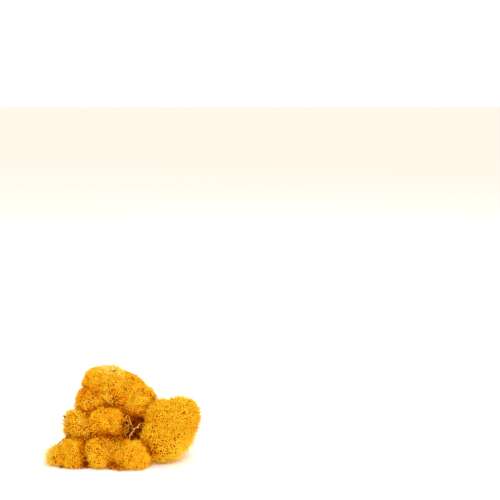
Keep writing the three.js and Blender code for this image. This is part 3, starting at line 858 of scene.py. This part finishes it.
def grow(name, head, style):
    s = {**PLAIN, **style}
    mesh = Mesh()
    near = {k: b for k, b in bodies.items() if k != name and np.linalg.norm(b.c - head.c) < b.reach + head.reach + 3}
    joined = [b for k, b in near.items() if frozenset((name, k)) in JOINED]
    blends = [1.9 if frozenset((name, k)) in CREASED else 0.8 for k in near if frozenset((name, k)) in JOINED]
    apart = [b for k, b in near.items() if frozenset((name, k)) not in JOINED]
    skin = Skin(head, swellings[name] + [Blob([lobe]) for lobe in LUMPS.get(name, ())], joined, apart, blend_joined=blends)
    pits = cover(mesh, skin, s, tone_light_shade_patches=LIGHT_SHADE_AND_TONE_PATCHES.get(name, ()), pitted=PITTED.get(name, ()), frayed=FRAYED.get(name))
    mesh_cores(mesh, skin.blobs, s["tone"] + s["core_tone"], s["dark"] + s["core_dark"])
    # the thicket inside, as one closed lumpy skin, sunk, and deeper and painted darker as shade under the pits; its
    # dark colour is partly painted shade
    big = head.r.max() > 11

    def drop(d, r):
        base = s["core"] - 0.4 * blotches(d * head.r.max(), 2.6, 11)
        return base + s["pit_deep"] * pits.inside(head.c + d * (r - base)[:, None], 1.1)

    core, faces = closed_skin(head, drop, 5 if big else 4, skin)
    uvc = np.stack([np.full(len(core), s["tone"] + s["core_tone"]) + 0.1 * blotches(core, 3.0, 3),
                    s["dark"] + s["core_dark"] + 0.08 * blotches(core, 1.6, 4) + 0.35 * pits.inside(core, 1.3)], 1)
    mesh.add(core, faces, uvc)
    return mesh


def in_hollow(p, grow_by=0.0):
    x, z, rx, rz = HOLLOW
    return (((p[:, 0] - x) / (rx + grow_by)) ** 2 + ((p[:, 2] - z) / (rz + grow_by)) ** 2 < 1) & (p[:, 1] < 5)


def twigs(mesh, p, way, length, rad, u, v0, v1, forks, spread=0.75, bend=0.35):
    """Bare stems that bend and fork again and again; the last ones are pointed."""
    levels = len(forks) + 1
    for level in range(levels):
        n = len(p)
        side = unit(np.cross(way, rng.normal(size=(n, 3))))
        t = np.linspace(0, 1, 4)
        pts = (p[:, None] + way[:, None] * (length[:, None] * t)[..., None]
               + side[:, None] * (length[:, None] * bend * t ** 2)[..., None])
        last = level == levels - 1
        thin = rad[:, None] * (1 - 0.3 * t)
        a = v0 + (v1 - v0) * (level + t) / levels
        mesh.strands(pts, thin, u, np.broadcast_to(a, (n, 4)), pointed=last)
        if last:
            return
        end = unit(way + side * 2 * bend)
        tip = pts[:, -1] - end * (0.15 * rad)[:, None]
        count = rng.choice([2, 3], n, p=[1 - forks[level], forks[level]])
        who = np.repeat(np.arange(n), count)
        off = unit(np.cross(end[who], rng.normal(size=(len(who), 3))))
        way = unit(end[who] + off * spread * rng.uniform(0.6, 1.3, (len(who), 1)))
        p, length, rad = tip[who], length[who] * rng.uniform(0.55, 0.9, len(who)), rad[who] * 0.66
        u = u[who] + rng.normal(scale=0.04, size=len(who))


def grow_tangle(head, others):
    """The knot of lower stems: moss in the crevices, painted a deeper orange and darker as shade, and bare stems in the
    hollow.
    """
    s = {**PLAIN, **dict(space=1.08, arm=0.88, thick=0.17, tone=0.30, spread=0.16, dark=0.02, pits=0.9, pit=2.1, hole=(0.42, 0.70), crease=0.6,
                         rough=0.3, tuft=0.5, hairs=0.35, under_dark=0.2, core=2.6, core_dark=0.8)}
    mesh = Mesh()
    # swellings that fill the crevices between the rows of heads at the front
    d = even_dirs(5000)
    p = head.skin(d)
    free = (p[:, 2] > 2) & (p[:, 1] < 4) & ~in_hollow(p, 1.5)
    for o in others:
        free[free] &= o.depth(p[free]) < 0
    p, n = p[free], head.normal(d[free])
    kept = spread_points(p, 3.0, rng.permutation(len(p)))
    blobs = []
    for q, m in zip(p[kept], n[kept]):
        r = rng.uniform(1.8, 3.0)
        side = unit(np.cross(m, rng.normal(size=3)))
        blobs.append(Blob([(*(q + m * 0.1 * r), r), (*(q + side * r * 0.8), r * 0.7)]))
    for x in np.arange(-34.0, -1.0, 2.6):
        q = np.array([x, -12.0, 13.8]) + rng.normal(scale=0.8, size=3)
        side = unit(rng.normal(size=3))
        blobs.append(Blob([(*q, rng.uniform(2.4, 3.4)), (*(q + 2.2 * side), 2.0)]))
    blobs += [Blob([lobe]) for lobe in SKIRTS]
    skin = Skin(head, blobs, [], others)
    cover(mesh, skin, s, barred=in_hollow, tone_light_shade_patches=LIGHT_SHADE_AND_TONE_PATCHES["stem_tangle"])
    mesh_cores(mesh, blobs, 0.1, 0.72)

    def drop(d, r):
        p = head.skin(d)
        x, z, rx, rz = HOLLOW
        deep = np.clip(1.25 - (((p[:, 0] - x) / rx) ** 2 + ((p[:, 2] - z) / rz) ** 2), 0, 1) * (p[:, 1] < 5)
        return s["core"] - 0.5 * blotches(p, 3.0, 11) + 4.6 * deep

    core, faces = closed_skin(head, drop, 5)
    hollow = in_hollow(core, 1.0)
    # the core is dark, partly as painted shade; in the hollow it is painted a deep dark red as the hollow's shade
    mesh.add(core, faces, np.stack([(0.15 + 0.14 * blotches(core, 3.0, 3)) * (1 - hollow),
             0.80 + 0.05 * hollow + (0.07 + 0.08 * hollow) * blotches(core, 2.6, 4)], 1))

    # stems from the wall of the hollow: a close net on its left, few on its right
    skin.p, skin.n = skin.settle(head.raw(1.3, 9))
    p, n = skin.pick(1.35, drop=5.6, inset=4.5)
    x, z, rx, rz = HOLLOW
    sel = in_hollow(p, 0.5)
    left = 1 / (1 + np.exp((p[:, 0] - x - 0.5) / 1.6))
    sel &= rng.random(len(p)) < 0.6 + 0.4 * left
    p, n, left = p[sel], n[sel], left[sel]
    way = unit(n * 0.8 + rng.normal(scale=0.45, size=n.shape) + np.array([0.0, -0.25, 0.35]))
    # their feet painted dark, partly the stems' own colour and partly the hollow's painted shade, lighter towards the
    # tips
    twigs(mesh, p - way * 0.5, way, rng.uniform(1.7, 2.9, len(p)), rng.uniform(0.22, 0.34, len(p)), 0.10 + 0.22 * left + rng.normal(scale=0.05, size=len(p)),
          0.92, 0.50, (0.5, 0.35, 0.3))
    # the rim: side branches of the neighbours that reach into the hollow
    p, n = skin.pick(1.7, drop=1.0, inset=1.2)
    ring = in_hollow(p, 1.5) & ~in_hollow(p, -2.0)
    p, n = p[ring], n[ring]
    inward = unit(np.stack([x - p[:, 0], -2.0 - p[:, 1], z - p[:, 2]], 1))
    way = unit(inward * 0.5 + n * 0.7 + rng.normal(scale=0.5, size=n.shape))
    # darker at their feet, partly their own colour and partly painted shade
    twigs(mesh, p - n * 1.5, way, rng.uniform(1.2, 2.0, len(p)), rng.uniform(0.2, 0.28, len(p)), rng.normal(loc=0.22, scale=0.08, size=len(p)),
          0.75, 0.28, (0.5, 0.4))
    return mesh


def spline(points, steps):
    """A smooth curve through the points."""
    p = np.array(points, float)
    p = np.concatenate([[2 * p[0] - p[1]], p, [2 * p[-1] - p[-2]]])
    out = []
    for i in range(1, len(p) - 2):
        t = np.linspace(0, 1, steps, endpoint=False)[:, None]
        a, b, c, d = p[i - 1:i + 3]
        out.append(0.5 * (2 * b + (c - a) * t + (2 * a - 5 * b + 4 * c - d) * t ** 2 + (3 * b - a - 3 * c + d) * t ** 3))
    return np.concatenate(out + [p[-2:-1]])


def stem(mesh, points, r0, r1, u, v0=0.3, v1=0.1, sides=7, steps=5, knots=0.12):
    """One tapering stem with slight knots and kinks. Returns its centre line."""
    c = spline(points, steps)
    k = len(c)
    t = np.linspace(0, 1, k)
    rad = (r0 + (r1 - r0) * t) * (1 + knots * np.sin(t * 23 + 1) * np.sin(t * 57))
    rad[-1] *= 0.35
    c[1:-1] += rng.normal(scale=0.05, size=(k - 2, 3))
    e_prev = None
    rings = []
    for i in range(k):
        d = unit(c[min(i + 1, k - 1)] - c[max(i - 1, 0)])
        e = np.cross(d, [0.3, 0.5, 0.81]) if e_prev is None else e_prev - d * (e_prev @ d)
        e_prev = unit(e)
        f = np.cross(d, e_prev)
        a = np.arange(sides) * 2 * math.pi / sides
        rings.append(c[i] + rad[i] * (np.cos(a)[:, None] * e_prev + np.sin(a)[:, None] * f))
    co = np.concatenate(rings)
    faces = []
    for i in range(k - 1):
        for j in range(sides):
            q = (j + 1) % sides
            faces += [(i * sides + j, i * sides + q, (i + 1) * sides + q), (i * sides + j, (i + 1) * sides + q, (i + 1) * sides + j)]
    faces += [(0, j + 1, j) for j in range(1, sides - 1)]
    end = (k - 1) * sides
    faces += [(end, end + j, end + j + 1) for j in range(1, sides - 1)]
    uu = u + 0.02 * np.tile(np.cos(np.arange(sides) * 2 * math.pi / sides), k)
    vv = np.repeat(v0 + (v1 - v0) * t, sides)
    mesh.add(co, np.array(faces), np.stack([uu, vv], 1))
    return c


def barbs(mesh, line, count, length, rad, u, v, start=0.15):
    """Short pointed side twigs along a centre line."""
    i = rng.integers(int(start * len(line)), len(line) - 1, count)
    along = unit(line[i + 1] - line[i])
    side = unit(np.cross(along, rng.normal(size=(count, 3))))
    way = unit(along * 0.7 + side)
    mesh.spikes(line[i] + (line[i + 1] - line[i]) * rng.random((count, 1)), way, length * rng.uniform(0.6, 1.4, count), np.full(count, rad),
                np.full(count, u) + rng.normal(scale=0.05, size=count), np.full(count, v), v * 0.3)


def grow_bare_stem():
    mesh = Mesh()
    main = stem(mesh, [[3.0, -11.0, 9.0], [4.1, -13.2, 13.6], [4.4, -13.5, 15.4], [4.95, -13.8, 17.9], [5.65, -13.8, 18.85], [6.75, -13.4, 19.7],
                       [7.35, -13.0, 20.95], [8.45, -12.4, 21.8], [9.5, -11.8, 22.3], [10.3, -11.0, 23.1], [10.9, -9.6, 23.5], [11.6, -6.5, 23.9]],
                0.28, 0.13, 0.5, 0.52, 0.24)
    one = stem(mesh, [[7.3, -13.0, 20.8], [6.7, -12.8, 21.25], [6.05, -12.6, 21.45]], 0.20, 0.13, 0.45, sides=6)
    two = stem(mesh, [[9.3, -12.0, 22.25], [9.8, -12.3, 22.0], [10.3, -12.4, 21.8]], 0.24, 0.14, 0.5, sides=6)
    stem(mesh, [[5.2, -13.8, 18.2], [5.8, -14.2, 18.1], [6.4, -14.3, 17.7]], 0.24, 0.12, 0.4, sides=6)
    stem(mesh, [[9.9, -11.6, 22.8], [10.0, -11.9, 23.3], [9.8, -11.8, 23.8]], 0.16, 0.10, 0.45, sides=6)
    for line in (main, main, one, two):
        barbs(mesh, line, 4, 0.7, 0.11, 0.45, 0.24)
    return mesh


def grow_open_sprig():
    mesh = Mesh()
    arch = stem(mesh, [[2.6, -5.0, 12.5], [1.4, -7.4, 15.6], [0.5, -8.2, 18.9], [-0.15, -8.3, 21.5], [-0.2, -8.3, 24.25], [0.75, -8.2, 26.5],
                       [2.0, -8.1, 28.0], [2.9, -8.0, 28.4], [3.9, -7.8, 27.4], [4.2, -7.5, 25.6], [4.9, -7.5, 23.6], [5.35, -7.8, 21.8]],
                0.21, 0.14, 0.5, 0.34, 0.1, sides=6)
    cross = stem(mesh, [[0.5, -8.2, 18.9], [1.6, -8.6, 20.9], [3.2, -8.6, 22.4], [4.7, -7.4, 23.9]], 0.18, 0.12, 0.45, 0.34, 0.15, sides=6)
    # the fine loops between them
    for pts in ([[-0.15, -8.3, 22.6], [0.9, -8.8, 23.1], [1.9, -8.7, 22.5], [2.4, -8.5, 21.5]],
                [[0.0, -8.2, 25.3], [1.1, -8.7, 25.4], [2.6, -8.6, 25.5], [4.1, -7.7, 26.3]],
                [[2.1, -8.0, 28.0], [2.0, -8.4, 26.9], [2.6, -8.5, 25.5], [3.4, -8.6, 24.6], [4.6, -7.6, 24.2]],
                [[1.6, -8.6, 20.9], [0.7, -8.7, 21.3], [-0.1, -8.3, 21.9]],
                [[3.2, -8.6, 22.4], [3.8, -8.6, 21.0], [3.2, -8.5, 19.6], [1.8, -8.4, 19.2], [0.5, -8.2, 19.2]],
                [[0.9, -8.3, 17.4], [2.0, -8.7, 18.0], [3.2, -8.5, 18.4], [3.2, -8.5, 19.6]]):
        line = stem(mesh, pts, 0.16, 0.11, 0.45, 0.34, 0.15, sides=5, steps=4)
        barbs(mesh, line, 4, 0.5, 0.09, 0.6, 0.2, start=0.0)
    for line in (arch, arch, cross):
        barbs(mesh, line, 8, 0.7, 0.10, 0.6, 0.2)
    return mesh


def grow_needle():
    mesh = Mesh()
    stem(mesh, [[-42.0, -17.0, 10.7], [-40.4, -16.6, 12.1], [-38.4, -15.8, 13.8], [-36.2, -14.9, 15.4], [-32.5, -13.2, 17.9]], 0.28, 0.45, 0.3, 0.3, 0.2,
         sides=6, knots=0.03)
    return mesh


def chip(mesh, centre, half, turn, seed, ridges):
    """An irregular flake: a ball pressed flat, chipped and ridged."""
    b = bmesh.new()
    bmesh.ops.create_icosphere(b, subdivisions=3, radius=1.0)
    d = unit(np.array([v.co for v in b.verts]))
    f = np.array([[v.index for v in face.verts] for face in b.faces])
    b.free()
    power = 2.8
    r = (np.abs(d) ** power).sum(1) ** (-1 / power)
    r *= 1 + 0.13 * blotches(d, 1.1, seed) + 0.05 * blotches(d, 0.4, seed + 1)
    p = d * r[:, None] * np.array(half)
    p[:, 2] += ridges * np.sin(p[:, 0] * 9 + 0.6 * np.sin(p[:, 1] * 7))
    ax, ay, az = np.radians(turn)
    rx = np.array([[1, 0, 0], [0, math.cos(ax), -math.sin(ax)], [0, math.sin(ax), math.cos(ax)]])
    ry = np.array([[math.cos(ay), 0, math.sin(ay)], [0, 1, 0], [-math.sin(ay), 0, math.cos(ay)]])
    rz = np.array([[math.cos(az), -math.sin(az), 0], [math.sin(az), math.cos(az), 0], [0, 0, 1]])
    p = p @ (rz @ ry @ rx).T + np.array(centre)
    mesh.add(p, f, np.stack([0.45 + 0.35 * blotches(d, 0.7, seed + 2), 0.4 + 0.3 * blotches(d, 0.9, seed + 3)], 1))


swellings = seams(bodies)
slots = {part["node"]: part["material_slot"] for part in frame["record"]["subparts"]}


def finish_piece(mesh, node, material, name=None):
    mesh.piece(name or "moss_" + node, node, slots[node], material)


for name, head in bodies.items():
    finish_piece(grow(name, head, STYLE.get(name, BACK)), name, moss)
finish_piece(grow_tangle(tangle_body, list(bodies.values()) + list({id(b): b for bs in swellings.values() for b in bs}.values())), "stem_tangle", moss)
finish_piece(grow_bare_stem(), "bare_stem", twig, "lit_bare_stem")
finish_piece(grow_open_sprig(), "open_sprig", sprig_mat, "fine_open_sprig")
finish_piece(grow_needle(), "pine_needle", needle_mat, "fallen_needle")
fleck = Mesh()
chip(fleck, (-36.75, -9.3, 28.2), (0.6, 0.8, 1.05), (8, -28, 40), 71, 0.05)
finish_piece(fleck, "bark_fleck", bark_mat, "dark_bark_fleck")
crumb = Mesh()
chip(crumb, (-36.6, -27.2, 1.05), (1.45, 0.85, 0.5), (6, 0, 14), 88, 0.06)
finish_piece(crumb, "base_crumb", bark_mat, "litter_crumb")

# -------------------------------------------------------------------- stage
floor_mat = bpy.data.materials.new("studio_floor")
floor_mat.use_nodes = True
fb = floor_mat.node_tree.nodes["Principled BSDF"]
fb.inputs["Base Color"].default_value = (0.88, 0.74, 0.65, 1)
fb.inputs["Roughness"].default_value = 0.9
fb.inputs["Specular IOR Level"].default_value = 0.1
me = bpy.data.meshes.new("studio_floor")
me.from_pydata([(-6, -6, 0), (6, -6, 0), (6, 6, 0), (-6, 6, 0)], [], [(0, 1, 2, 3)])
me.materials.append(floor_mat)
floor = bpy.data.objects.new("studio_floor", me)
bpy.context.scene.collection.objects.link(floor)

world = bpy.data.worlds.new("studio")
bpy.context.scene.world = world
world.use_nodes = True
world.node_tree.nodes["Background"].inputs["Color"].default_value = (1, 1, 1, 1)
world.node_tree.nodes["Background"].inputs["Strength"].default_value = 1.24


def soft_light(name, at, look, size, power):
    data = bpy.data.lights.new(name, "AREA")
    data.shape = "DISK"
    data.size = size
    data.energy = power
    ob = bpy.data.objects.new(name, data)
    ob.location = at
    ob.rotation_euler = (Vector(look) - Vector(at)).to_track_quat("-Z", "Y").to_euler()
    bpy.context.scene.collection.objects.link(ob)
    return ob


soft_light("key", (0.35, -0.8, 0.9), (0, 0, 0.02), 0.9, 4.8)
soft_light("top", (0.35, 0.55, 1.0), (0, 0, 0.02), 1.2, 7.3)
soft_light("fill", (0.30, -1.05, 0.12), (0, 0, 0.02), 0.7, 13.4)
soft_light("side", (1.0, -0.25, 0.35), (0, 0, 0.02), 0.7, 2.2)
soft_light("left", (-0.9, -0.7, 0.35), (0, 0, 0.02), 0.7, 3.0)
soft_light("low", (0.85, -0.35, 0.07), (0.02, 0, 0.01), 0.5, 2.2)

cam = bpy.data.cameras.new("camera")
cam.lens = 100.0
cam.sensor_width = 36.0
cam.clip_start = 0.01
camera = bpy.data.objects.new("camera", cam)
camera.location = tuple((np.array([80.0, -860.0, 253.6]) + SHIFT) / 1000)
camera.rotation_euler = (math.radians(90 - 8), 0, 0)
bpy.context.scene.collection.objects.link(camera)
bpy.context.scene.camera = camera
bpy.context.scene.view_settings.view_transform = "Standard"
bpy.context.scene.view_settings.look = "None"
